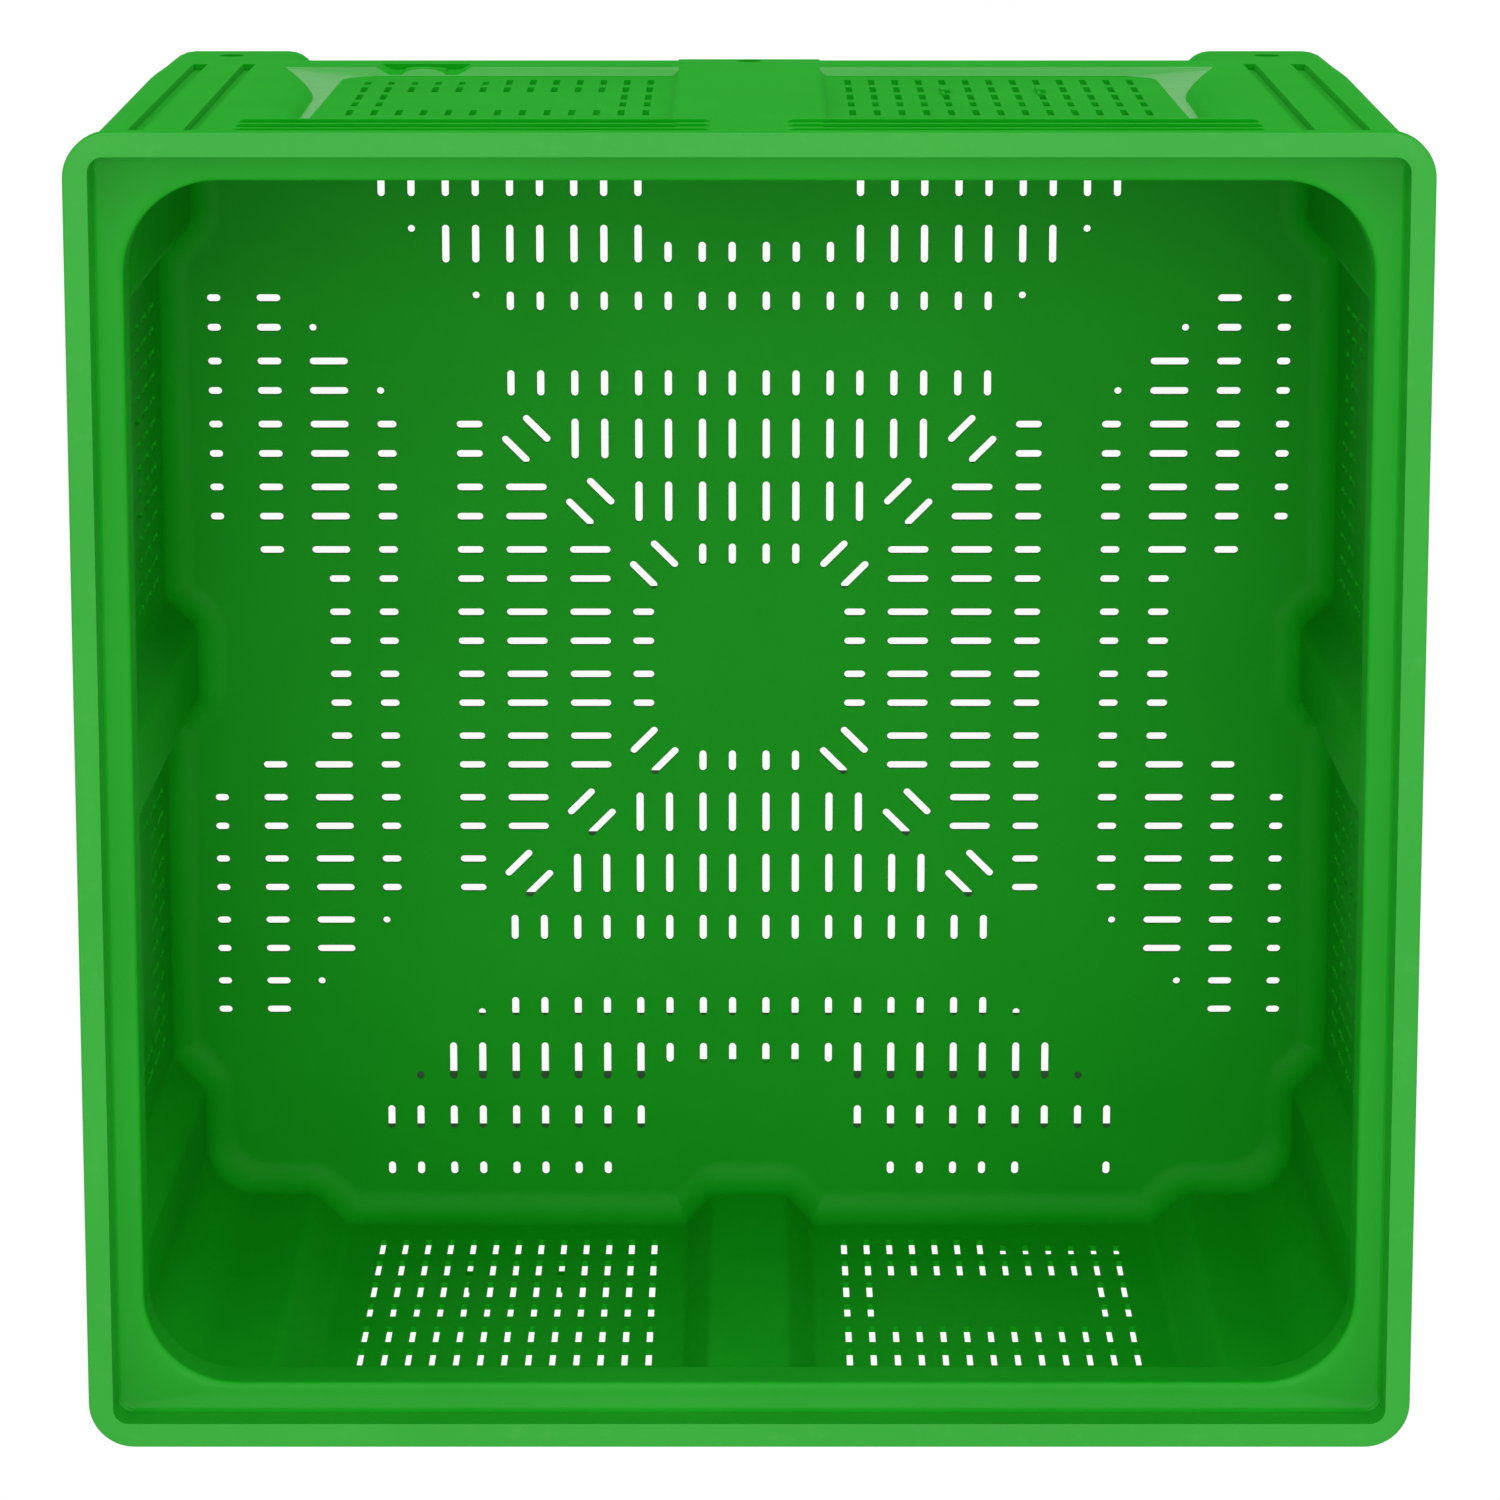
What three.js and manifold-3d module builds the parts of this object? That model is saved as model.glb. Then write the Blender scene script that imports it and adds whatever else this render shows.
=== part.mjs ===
// Vented bulk crate moulded in green polyethylene: perforated floor, four vented
// walls between corner and middle posts, stacking rim on top, nine feet below.
// Millimetres, +Z up, origin on the ground under the middle of the crate.
// The four sides are one design turned by quarter turns.
import * as THREE from 'three';
import { mergeVertices } from 'three/addons/utils/BufferGeometryUtils.js';
import Module from 'manifold-3d';

const wasm = await Module();
wasm.setup();

// Overall
const RIM_HALF = 569.5;
const RIM_TOP = 780;
const FLOOR_TOP = 160;
const DECK_T = 4;
const GAP = 0.3;

// Rim
const RIM_OPENING = 524;
const RAIL_WALL_OUT = 558.6;

// Walls and posts
const WALL_OUT = 556.4;
const WALL_T = 5.5;
const WALL_IN = WALL_OUT - WALL_T;
const POST_OUT_LOW = 562.8;
const POST_OUT_HIGH = 567.6;
const POST_IN_LOW = 520.5;
const POST_IN_HIGH = 526.0;
const POST_BASE = FLOOR_TOP + GAP;
const POST_TOP = 760;
const RAIL_WALL_Z = 738.5;
const FLANGE_Z = 698;
const SKIN = 5;
const MID_HALF = 70;
const CORNER_START = 382;
const CORNER_R_LOW = 32;
const CORNER_R_HIGH = 48;
const INSIDE_R = 58;
const GROOVES = [465.5, 511];
const GROOVE_W = 12;
const GROOVE_DEPTH = 3.6;

// Base skirt, ledge and floor fillet
const SKIRT_BOTTOM = 100;
const SKIRT_OUT_LOW = 561.7;
const LEDGE_LOW_Z = 185;
const PANEL_Z0 = 198;
const FILLET_R = 27;
const DECK_HALF = WALL_IN - FILLET_R;
const SKIRT_IN = 553.9;
const SKIRT_OUT_HIGH = 563.2;
const TONGUE_BOTTOM = 89;
const LIFT_HOLE_R = 12;

// Wall vents
const VENT_COLS = 13;
const VENT_ROWS = 6;
const VENT_X0 = 90;
const VENT_PITCH_X = 21.5;
const VENT_W = 5.7;
const VENT_Z0 = 234.7;
const VENT_PITCH_Z = 65.8;
const VENT_H = 44;
const SHORT_ROW = 3;
const SHORT_ROW_CUT = 8;
const PANEL_Z1 = 654.7;

// Under-rim ribs
const RIB_Z = [673, 708, 742];
const RIB_H = 7;
const RIB_OUT = 569.2;

// Floor slots: half pitch pattern repeats every 60 mm with a pair at 16 mm either side
const GRID = 60;
const PAIR = 16;
const SLOT_W = 6.8;

// Feet and underside ribs
const FOOT_HALF_MID = 67;
const MID_FOOT_IN = 437;
const MID_FOOT_OUT = 548;
const CENTRE_FOOT = 58;
const CORNER_FOOT_IN = 414;
const FOOT_TOP = FLOOR_TOP - DECK_T - GAP;
const FOOT_OUT = 560;
const FOOT_SKIN = 6;
const RIB_T = 3;
const RIB_DEPTH = 38;
const RIB_REACH = 8;
const RIB_STEP = 4;

const GREEN = new THREE.Color(0.13, 0.47, 0.12);
const RIM_GREEN = new THREE.Color(0.15, 0.5, 0.14);

const crate = new THREE.Group();
crate.name = 'vented_bulk_crate';

function solidOf(geometry) {
  const bare = new THREE.BufferGeometry();
  const plain = geometry.index ? geometry.toNonIndexed() : geometry;
  bare.setAttribute('position', plain.getAttribute('position').clone());
  const merged = mergeVertices(bare, 1e-4);
  return new wasm.Manifold(new wasm.Mesh({
    numProp: 3,
    vertProperties: new Float32Array(merged.getAttribute('position').array),
    triVerts: new Uint32Array(merged.index.array),
  }));
}

function geometryOf(solid) {
  const mesh = solid.getMesh();
  const geometry = new THREE.BufferGeometry();
  geometry.setAttribute('position', new THREE.BufferAttribute(new Float32Array(mesh.vertProperties), 3));
  geometry.setIndex(new THREE.BufferAttribute(new Uint32Array(mesh.triVerts), 1));
  geometry.computeVertexNormals();
  return geometry;
}

function box(x0, x1, y0, y1, z0, z1) {
  const geometry = new THREE.BoxGeometry(x1 - x0, y1 - y0, z1 - z0);
  geometry.translate((x0 + x1) / 2, (y0 + y1) / 2, (z0 + z1) / 2);
  return solidOf(geometry);
}

// Loft between plan outlines of equal point count; each level is { z, points }.
function loft(levels) {
  const positions = [];
  const count = levels[0].points.length;
  const tri = (a, b, c) => positions.push(...a, ...b, ...c);
  const at = (level, i) => [level.points[i % count].x, level.points[i % count].y, level.z];
  for (let n = 0; n + 1 < levels.length; n += 1) {
    for (let i = 0; i < count; i += 1) {
      const a = at(levels[n], i);
      const b = at(levels[n], i + 1);
      const c = at(levels[n + 1], i + 1);
      const d = at(levels[n + 1], i);
      tri(a, b, c);
      tri(a, c, d);
    }
  }
  const last = levels[levels.length - 1];
  for (const [i, j, k] of THREE.ShapeUtils.triangulateShape(levels[0].points, [])) {
    tri(at(levels[0], i), at(levels[0], k), at(levels[0], j));
  }
  for (const [i, j, k] of THREE.ShapeUtils.triangulateShape(last.points, [])) {
    tri(at(last, i), at(last, j), at(last, k));
  }
  const geometry = new THREE.BufferGeometry();
  geometry.setAttribute('position', new THREE.Float32BufferAttribute(positions, 3));
  return solidOf(geometry);
}

function prism(points, z0, z1) {
  return loft([{ z: z0, points }, { z: z1, points }]);
}

function arc(cx, cy, r, from, to, steps) {
  const points = [];
  for (let i = 0; i <= steps; i += 1) {
    const t = from + ((to - from) * i) / steps;
    points.push(new THREE.Vector2(cx + r * Math.cos(t), cy + r * Math.sin(t)));
  }
  return points;
}

// Extrude a (y, z) section along x.
function along(section, x0, x1) {
  const ccw = THREE.ShapeUtils.isClockWise(section) ? [...section].reverse() : section;
  const geometry = new THREE.ExtrudeGeometry(new THREE.Shape(ccw), { depth: x1 - x0, bevelEnabled: false });
  geometry.applyMatrix4(new THREE.Matrix4().set(0, 0, 1, x0, 1, 0, 0, 0, 0, 1, 0, 0, 0, 0, 0, 1));
  return solidOf(geometry);
}

function cylinderY(x, z, r, y0, y1) {
  const geometry = new THREE.CylinderGeometry(r, r, y1 - y0, 12);
  geometry.translate(x, (y0 + y1) / 2, z);
  return solidOf(geometry);
}

function place(name, solid, turns, color) {
  const geometry = geometryOf(solid);
  geometry.rotateZ((turns * Math.PI) / 2);
  const mesh = new THREE.Mesh(geometry, new THREE.MeshStandardMaterial({
    color, roughness: 0.45, metalness: 0,
  }));
  mesh.name = name;
  crate.add(mesh);
}

function union(solids) {
  return solids.reduce((a, b) => a.add(b));
}

const SIDES = ['back', 'left', 'front', 'right'];
const v2 = (x, y) => new THREE.Vector2(x, y);
const riseAt = (z) => (z - POST_BASE) / (POST_TOP - POST_BASE);
const outerAt = (z) => POST_OUT_LOW + (POST_OUT_HIGH - POST_OUT_LOW) * riseAt(z);
const innerAt = (z) => POST_IN_LOW + (POST_IN_HIGH - POST_IN_LOW) * riseAt(z);

// --- floor deck -------------------------------------------------------------
function slotCentres() {
  const lines = [];
  for (let k = 0; k <= 6; k += 1) {
    if (k > 0) lines.push(GRID * k - PAIR);
    if (k < 6) lines.push(GRID * k + PAIR);
  }
  return lines.sort((a, b) => a - b);
}

// Each row of slots: radial start, end, first and last line used.
const SLOT_ROWS = [
  { from: 90, to: 110, first: 1, last: 2 },
  { from: 131, to: 169.5, first: 1, last: 4 },
  { from: 191, to: 229.5, first: 1, last: 6 },
  { from: 251, to: 275.5, first: 1, last: 8 },
  { from: 332, to: 350, first: 1, last: 8 },
  { from: 377.5, to: 397, first: 1, last: 3 },
  { from: 377, to: 413, first: 4, last: 10 },
  { from: 439.5, to: 462, first: 4, last: 12 },
  { from: 495.6, to: 508.4, first: 5, last: 12 },
];

// The front row next to the wall has no slots on two lines, at its right-hand end.
const BLANK_TURN = 2;
const BLANK_LINES = [10, 11];

function floorCutters(turns) {
  const lines = slotCentres();
  const cutters = [];
  for (const row of SLOT_ROWS) {
    for (let n = row.first; n <= row.last; n += 1) {
      const x = lines[n - 1];
      for (const side of [-1, 1]) {
        const lastRow = row === SLOT_ROWS[SLOT_ROWS.length - 1];
        const blank = lastRow && turns === BLANK_TURN && side < 0 && BLANK_LINES.includes(n);
        const [x0, x1] = [side * x - SLOT_W / 2, side * x + SLOT_W / 2];
        if (!blank) cutters.push(box(x0, x1, row.from, row.to, FLOOR_TOP - 12, FLOOR_TOP + 8));
      }
    }
  }
  for (const n of [90, 150, 210]) {
    for (const side of [-14, 14]) {
      const slot = new THREE.BoxGeometry(SLOT_W, 34, 20);
      slot.translate(side, 0, 0);
      slot.rotateZ(-Math.PI / 4);
      slot.translate(n, n, FLOOR_TOP);
      cutters.push(solidOf(slot));
    }
  }
  return cutters;
}

function floorDeck() {
  const tabs = [box(-DECK_HALF, DECK_HALF, -DECK_HALF, DECK_HALF, FLOOR_TOP - DECK_T, FLOOR_TOP)];
  for (let k = 0; k < 4; k += 1) {
    const turn = [0, 0, 90 * k];
    tabs.push(box(-MID_HALF, MID_HALF, DECK_HALF - 1, SKIRT_IN - GAP,
      FLOOR_TOP - DECK_T, FLOOR_TOP).rotate(turn));
    const outer = POST_OUT_LOW - 1.5;
    const corner = [
      v2(CORNER_FOOT_IN + 0.3, DECK_HALF - 1), v2(outer - CORNER_R_LOW, DECK_HALF - 1),
      ...arc(outer - CORNER_R_LOW, outer - CORNER_R_LOW, CORNER_R_LOW, 0, Math.PI / 2, 3),
      v2(CORNER_FOOT_IN + 0.3, outer),
    ];
    tabs.push(prism(corner, FLOOR_TOP - DECK_T, FLOOR_TOP).rotate(turn));
    const mirrored = corner.map((p) => v2(p.y, p.x)).reverse();
    tabs.push(prism(mirrored, FLOOR_TOP - DECK_T, FLOOR_TOP).rotate(turn));
  }
  let deck = union(tabs);
  for (let k = 0; k < 4; k += 1) {
    for (const cutter of floorCutters(k)) {
      deck = deck.subtract(cutter.rotate([0, 0, 90 * k]));
    }
  }
  return deck;
}
place('floor_deck', floorDeck(), 0, GREEN);

// --- feet -------------------------------------------------------------------
function openFoot(outline, inner) {
  return prism(outline, 0, FOOT_TOP).subtract(prism(inner, -1, FOOT_TOP - FOOT_SKIN));
}

function rectangle(x0, x1, y0, y1) {
  return [v2(x0, y0), v2(x1, y0), v2(x1, y1), v2(x0, y1)];
}

function blockFoot(x0, x1, y0, y1) {
  const s = FOOT_SKIN;
  return openFoot(rectangle(x0, x1, y0, y1), rectangle(x0 + s, x1 - s, y0 + s, y1 - s));
}

place('foot_centre', blockFoot(-CENTRE_FOOT, CENTRE_FOOT, -CENTRE_FOOT, CENTRE_FOOT), 0, GREEN);

function cornerFoot() {
  const a = CORNER_FOOT_IN + 0.3;
  const b = FOOT_OUT;
  const s = FOOT_SKIN;
  const bend = b - CORNER_R_LOW;
  const outline = [
    v2(a, a), v2(b - 8, a), v2(b, a + 20),
    ...arc(bend, bend, CORNER_R_LOW, 0, Math.PI / 2, 4),
    v2(a + 20, b), v2(a, b - 8),
  ];
  const inner = [
    v2(a + s, a + s), v2(b - 8 - s, a + s), v2(b - s, a + 20 + s), v2(b - s, bend),
    v2(bend, b - s), v2(a + 20 + s, b - s), v2(a + s, b - 8 - s),
  ];
  const foot = openFoot(outline, inner);
  const hole = cylinderY(491, 48, LIFT_HOLE_R, 545, 575);
  return foot.subtract(hole).subtract(hole.rotate([0, 0, 90]).mirror([1, 0, 0]));
}

const CORNERS = ['back_right', 'back_left', 'front_left', 'front_right'];
const cornerFootSolid = cornerFoot();
CORNERS.forEach((name, k) => place(`foot_${name}`, cornerFootSolid, k, GREEN));

const midFootSolid = blockFoot(-FOOT_HALF_MID, FOOT_HALF_MID, MID_FOOT_IN, MID_FOOT_OUT);
SIDES.forEach((name, k) => place(`foot_${name}`, midFootSolid, k, GREEN));

// --- underside rib grid -----------------------------------------------------
function ribGrid() {
  const z0 = FOOT_TOP - RIB_DEPTH;
  const reach = RIB_REACH * GRID + RIB_T / 2;
  let grid = box(-reach, reach, -reach, reach, z0, FOOT_TOP);
  for (let i = -RIB_REACH; i < RIB_REACH; i += RIB_STEP) {
    for (let j = -RIB_REACH; j < RIB_REACH; j += RIB_STEP) {
      const [x, y] = [i * GRID + RIB_T / 2, j * GRID + RIB_T / 2];
      const cell = RIB_STEP * GRID - RIB_T;
      grid = grid.subtract(box(x, x + cell, y, y + cell, z0 - 5, FOOT_TOP + 5));
    }
  }
  const clear = GAP;
  const core = CENTRE_FOOT + clear;
  grid = grid.subtract(box(-core, core, -core, core, 0, FLOOR_TOP));
  for (let k = 0; k < 4; k += 1) {
    const turn = [0, 0, 90 * k];
    const side = box(-FOOT_HALF_MID - clear, FOOT_HALF_MID + clear, MID_FOOT_IN - clear, 600, 0, FLOOR_TOP);
    const corner = box(CORNER_FOOT_IN, 600, CORNER_FOOT_IN, 600, 0, FLOOR_TOP);
    grid = grid.subtract(side.rotate(turn)).subtract(corner.rotate(turn));
  }
  return grid;
}
place('floor_rib_grid', ribGrid(), 0, GREEN);

// --- posts ------------------------------------------------------------------
function mirrored(list) {
  return list.map((p) => v2(p.y, p.x)).reverse();
}

function cornerOutline(z) {
  const out = outerAt(z);
  const inner = innerAt(z);
  const t = (z - POST_BASE) / (POST_TOP - POST_BASE);
  const r = CORNER_R_LOW + (CORNER_R_HIGH - CORNER_R_LOW) * t;
  const start = CORNER_START + GAP;
  const step = out - WALL_OUT;
  const shoulder = [
    v2(start + 33, out),
    v2(start + 22, out - 0.28 * step),
    v2(start + 13, out - 0.75 * step),
    v2(start + 9, WALL_OUT),
    v2(start, WALL_OUT),
    v2(start, WALL_IN),
    v2(start + 35, inner),
  ];
  const inside = arc(inner - INSIDE_R, inner - INSIDE_R, INSIDE_R, Math.PI / 2, 0, 4);
  return [...mirrored(shoulder), ...arc(out - r, out - r, r, 0, Math.PI / 2, 5), ...shoulder, ...inside];
}

function cornerHollow(z) {
  const out = outerAt(z) - SKIN;
  const inner = innerAt(z);
  const start = CORNER_START + 44;
  const r = CORNER_R_LOW;
  return [
    v2(out, start),
    v2(out, out - r),
    v2(out - r, out),
    v2(start, out),
    v2(start, inner + SKIN),
    ...arc(inner - INSIDE_R, inner - INSIDE_R, INSIDE_R + SKIN, Math.PI / 2, 0, 3),
    v2(inner + SKIN, start),
  ];
}

function midOutline(z) {
  const out = outerAt(z);
  const inner = innerAt(z);
  const step = out - WALL_OUT;
  const half = [
    v2(MID_HALF, WALL_IN),
    v2(MID_HALF, WALL_OUT),
    v2(MID_HALF - 3, out - 0.4 * step),
    v2(MID_HALF - 9, out),
  ];
  const inside = [v2(-MID_HALF + 7, WALL_IN), v2(-34, inner), v2(34, inner), v2(MID_HALF - 7, WALL_IN)];
  return [...half, ...half.map((p) => v2(-p.x, p.y)).reverse(), ...inside];
}

function midHollow(z) {
  const out = outerAt(z) - SKIN;
  const inner = innerAt(z) + SKIN;
  const back = WALL_IN + 2;
  return [v2(54, back), v2(54, out), v2(-54, out), v2(-54, back), v2(-31, inner), v2(31, inner)];
}

// Tube between two levels, run past both ends when hollow, trimmed round the rim's flange.
function postTube(outline, hollow) {
  const body = loft([POST_BASE, POST_TOP].map((z) => ({ z, points: outline(z) })));
  const core = loft([POST_BASE - 1, POST_TOP + 1].map((z) => ({ z, points: hollow(z) })));
  const behindFlange = RIM_OPENING + 4;
  const behindWall = RAIL_WALL_OUT + GAP;
  return body
    .subtract(core)
    .subtract(box(-behindFlange, behindFlange, -behindFlange, behindFlange, FLANGE_Z - GAP, RIM_TOP))
    .subtract(box(-behindWall, behindWall, -behindWall, behindWall, RAIL_WALL_Z - GAP, RIM_TOP));
}

// A groove follows the draft of the post's face, so its depth is the same all the way up.
function grooveAt(x) {
  return loft([POST_BASE - 2, POST_TOP + 2].map((z) => ({
    z,
    points: rectangle(x - GROOVE_W / 2, x + GROOVE_W / 2, outerAt(z) - GROOVE_DEPTH, outerAt(z) + 4),
  })));
}

function cornerPost() {
  let post = postTube(cornerOutline, cornerHollow);
  for (const x of GROOVES) {
    const groove = grooveAt(x);
    post = post.subtract(groove).subtract(groove.mirror([1, -1, 0]));
  }
  return post;
}

function midPost() {
  const tongue = box(-FOOT_HALF_MID, FOOT_HALF_MID, SKIRT_IN, SKIRT_OUT_LOW, TONGUE_BOTTOM, POST_BASE + 6);
  let post = postTube(midOutline, midHollow).add(tongue);
  post = post.subtract(cylinderY(0, TONGUE_BOTTOM + 19, LIFT_HOLE_R, 540, 580));
  return post;
}

const cornerPostSolid = cornerPost();
CORNERS.forEach((name, k) => place(`post_${name}`, cornerPostSolid, k, GREEN));
const midPostSolid = midPost();
SIDES.forEach((name, k) => place(`post_${name}`, midPostSolid, k, GREEN));

// --- skirt with ledge and floor fillet, one each side of every middle post ----
function skirt() {
  const section = [
    v2(SKIRT_IN, SKIRT_BOTTOM), v2(SKIRT_OUT_LOW, SKIRT_BOTTOM), v2(SKIRT_OUT_HIGH, LEDGE_LOW_Z),
    v2(WALL_OUT, PANEL_Z0 - GAP), v2(WALL_IN, PANEL_Z0 - GAP),
    ...arc(DECK_HALF, FLOOR_TOP + FILLET_R, FILLET_R, 0, -Math.PI / 2 + 0.02, 4),
    v2(DECK_HALF + GAP, FLOOR_TOP - DECK_T), v2(SKIRT_IN, FLOOR_TOP - DECK_T),
  ];
  const shelf = [
    v2(SKIRT_IN, SKIRT_BOTTOM), v2(SKIRT_OUT_LOW, SKIRT_BOTTOM), v2(SKIRT_OUT_LOW, FLOOR_TOP),
    v2(DECK_HALF + GAP, FLOOR_TOP), v2(DECK_HALF + GAP, FLOOR_TOP - DECK_T),
    v2(SKIRT_IN, FLOOR_TOP - DECK_T),
  ];
  return along(section, MID_HALF + GAP, CORNER_START).add(along(shelf, CORNER_START - 1, CORNER_FOOT_IN));
}

// Shallow pocket with a half-round boss, on the label side only.
function pocket() {
  const floor = SKIRT_OUT_LOW - 4;
  const boss = new THREE.CylinderGeometry(12, 12, 120, 12);
  boss.rotateX(Math.PI / 2);
  boss.translate(301, floor - 2, 160);
  return box(264, 338, floor, 580, 118, 215).subtract(solidOf(boss));
}

// --- vent panels ------------------------------------------------------------
function ventPanel(labelled) {
  let panel = box(MID_HALF + GAP, CORNER_START, WALL_IN, WALL_OUT, PANEL_Z0, PANEL_Z1);
  for (let row = 0; row < VENT_ROWS; row += 1) {
    for (let col = 0; col < VENT_COLS; col += 1) {
      const inLabel = labelled && col >= 2 && col <= 10 && (row === 2 || row === 3);
      const overPocket = labelled && row === 0 && col >= 7;
      const x = VENT_X0 + VENT_PITCH_X * col;
      const z0 = VENT_Z0 + VENT_PITCH_Z * row + (overPocket ? 18 : 0);
      const z1 = VENT_Z0 + VENT_PITCH_Z * row + VENT_H - (row === SHORT_ROW ? SHORT_ROW_CUT : 0);
      if (!inLabel) {
        panel = panel.subtract(box(x - VENT_W / 2, x + VENT_W / 2, WALL_IN - 4, WALL_OUT + 4, z0, z1));
      }
    }
  }
  return panel;
}

// --- upper band with the three ribs below the rim ---------------------------------
function upperBand() {
  const x0 = MID_HALF + GAP;
  const back = RAIL_WALL_OUT + GAP;
  const face = back + 3.4;
  let band = box(x0, CORNER_START, WALL_IN, face, PANEL_Z1 + GAP, RAIL_WALL_Z - GAP);
  band = band.add(box(x0, CORNER_START, back, face, RAIL_WALL_Z - 2, 757));
  for (const z of RIB_Z) {
    band = band.add(box(x0, CORNER_START, face - 1, RIB_OUT, z, z + RIB_H));
  }
  return band;
}

const flip = (solid) => solid.mirror([1, 0, 0]);
const skirtSolid = skirt();
const pocketSkirt = flip(skirtSolid.subtract(pocket()));
const fullPanel = ventPanel(false);
const labelPanel = flip(ventPanel(true));
const upperSolid = upperBand();
SIDES.forEach((name, k) => {
  place(`skirt_${name}_plain`, skirtSolid, k, GREEN);
  place(`skirt_${name}_pocket`, pocketSkirt, k, GREEN);
  place(`vent_panel_${name}_full`, fullPanel, k, GREEN);
  place(`vent_panel_${name}_label`, labelPanel, k, GREEN);
  place(`upper_band_${name}_a`, upperSolid, k, GREEN);
  place(`upper_band_${name}_b`, flip(upperSolid), k, GREEN);
});

// --- stacking rim -----------------------------------------------------------
// Profile points: half size, height and plan corner radius.
const RIM_PROFILE = [
  [RIM_HALF, 764, 39], [RIM_HALF, 777.5, 39], [RIM_HALF - 2, RIM_TOP, 37],
  [548.2, RIM_TOP, 13], [547, 748, 12], [540, 743, 36],
  [528, 741.2, 77], [RIM_OPENING, 737.5, 79], [RIM_OPENING, FLANGE_Z, 79],
  [RIM_OPENING + 3.6, FLANGE_Z, 75.4], [RIM_OPENING + 3.6, RAIL_WALL_Z, 75.4],
  [RAIL_WALL_OUT, RAIL_WALL_Z, 34],
  [RAIL_WALL_OUT, 772, 34], [564.8, 774, 35], [564.8, 764, 35],
];

function rimRing() {
  const rings = RIM_PROFILE.map(([half, z, r]) => {
    const points = [];
    for (let k = 0; k < 4; k += 1) {
      const centre = v2(half - r, half - r).rotateAround(v2(0, 0), (k * Math.PI) / 2);
      points.push(...arc(centre.x, centre.y, r, (k * Math.PI) / 2, ((k + 1) * Math.PI) / 2, 4));
    }
    return points.map((p) => [p.x, p.y, z]);
  });
  const positions = [];
  const count = rings[0].length;
  for (let n = 0; n < rings.length; n += 1) {
    const low = rings[n];
    const high = rings[(n + 1) % rings.length];
    for (let i = 0; i < count; i += 1) {
      const j = (i + 1) % count;
      positions.push(...low[i], ...low[j], ...high[j], ...low[i], ...high[j], ...high[i]);
    }
  }
  const geometry = new THREE.BufferGeometry();
  geometry.setAttribute('position', new THREE.Float32BufferAttribute(positions, 3));
  return solidOf(geometry);
}

// One rail is the quarter of the ring between two mitres.
function rimRail() {
  const apex = GAP / 2;
  const wedge = [v2(0, apex * 2), v2(700, 700 + apex * 2), v2(-700, 700 + apex * 2)];
  return rimRing().intersect(prism(wedge, FLANGE_Z - 50, RIM_TOP + 50));
}

const railSolid = rimRail();
SIDES.forEach((name, k) => place(`rim_${name}`, railSolid, k, RIM_GREEN));

export default crate;
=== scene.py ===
"""Vented stacking bulk crate in green moulded polyethylene.

Everything is worked in millimetres and scaled to metres when a mesh is made.
The back wall (+Y) is modelled once, and the other walls are quarter turns of it.
"""
import math

import bmesh
import bpy
from mathutils import Matrix, Vector


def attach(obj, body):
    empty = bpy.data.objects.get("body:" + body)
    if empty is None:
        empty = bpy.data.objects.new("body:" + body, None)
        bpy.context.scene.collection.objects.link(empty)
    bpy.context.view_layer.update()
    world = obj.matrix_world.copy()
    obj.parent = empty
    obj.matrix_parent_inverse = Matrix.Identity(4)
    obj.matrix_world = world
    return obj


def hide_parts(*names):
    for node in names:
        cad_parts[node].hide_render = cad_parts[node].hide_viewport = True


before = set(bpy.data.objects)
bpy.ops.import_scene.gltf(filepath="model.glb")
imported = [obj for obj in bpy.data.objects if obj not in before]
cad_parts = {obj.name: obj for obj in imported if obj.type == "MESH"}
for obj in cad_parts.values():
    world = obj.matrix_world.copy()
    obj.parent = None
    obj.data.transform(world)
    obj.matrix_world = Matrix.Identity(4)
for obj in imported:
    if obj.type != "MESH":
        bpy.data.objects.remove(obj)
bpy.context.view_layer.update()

SIDES = ["back", "left", "front", "right"]
CORNERS = ["back_right", "back_left", "front_left", "front_right"]

FLOOR_TOP = 160.0
DECK_T = 4.0
RIM_HALF = 569.5
RIM_TOP = 780.0
RIM_OPENING = 524.0
FLANGE_Z = 698.0
LEDGE_UNDER = 738.5
SHELL_TOP = 760.0
SKIRT_BOTTOM = 100.0
LEDGE_LOW = 185.0
LEDGE_HIGH = 198.0
WALL_IN = 551.0
WALL_OUT = 556.4
FILLET_R = 27.0
WALL_LEAN = 1.6
POST_IN = 520.5
SKIRT_OUT_LOW = 561.0
SKIRT_OUT_HIGH = 563.3
POST_OUT_TOP = 567.6
GRID = 60.0
VALLEY_FLOOR = 553.0
DECK_UNDER = FLOOR_TOP - DECK_T

# ---------------------------------------------------------------- camera ----
CAMERA_TILT = math.radians(10.858)
camera_data = bpy.data.cameras.new("camera")
camera_data.sensor_width = 36.0
camera_data.lens = 141.6
camera_data.shift_y = -0.1055
camera_data.shift_x = 0.0005
camera_data.clip_end = 50.0
camera = bpy.data.objects.new("camera", camera_data)
camera.location = (0.0, 1.1152, 5.6418)
camera.rotation_euler = (-CAMERA_TILT, 0.0, 0.0)
bpy.context.scene.collection.objects.link(camera)
bpy.context.scene.camera = camera


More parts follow.
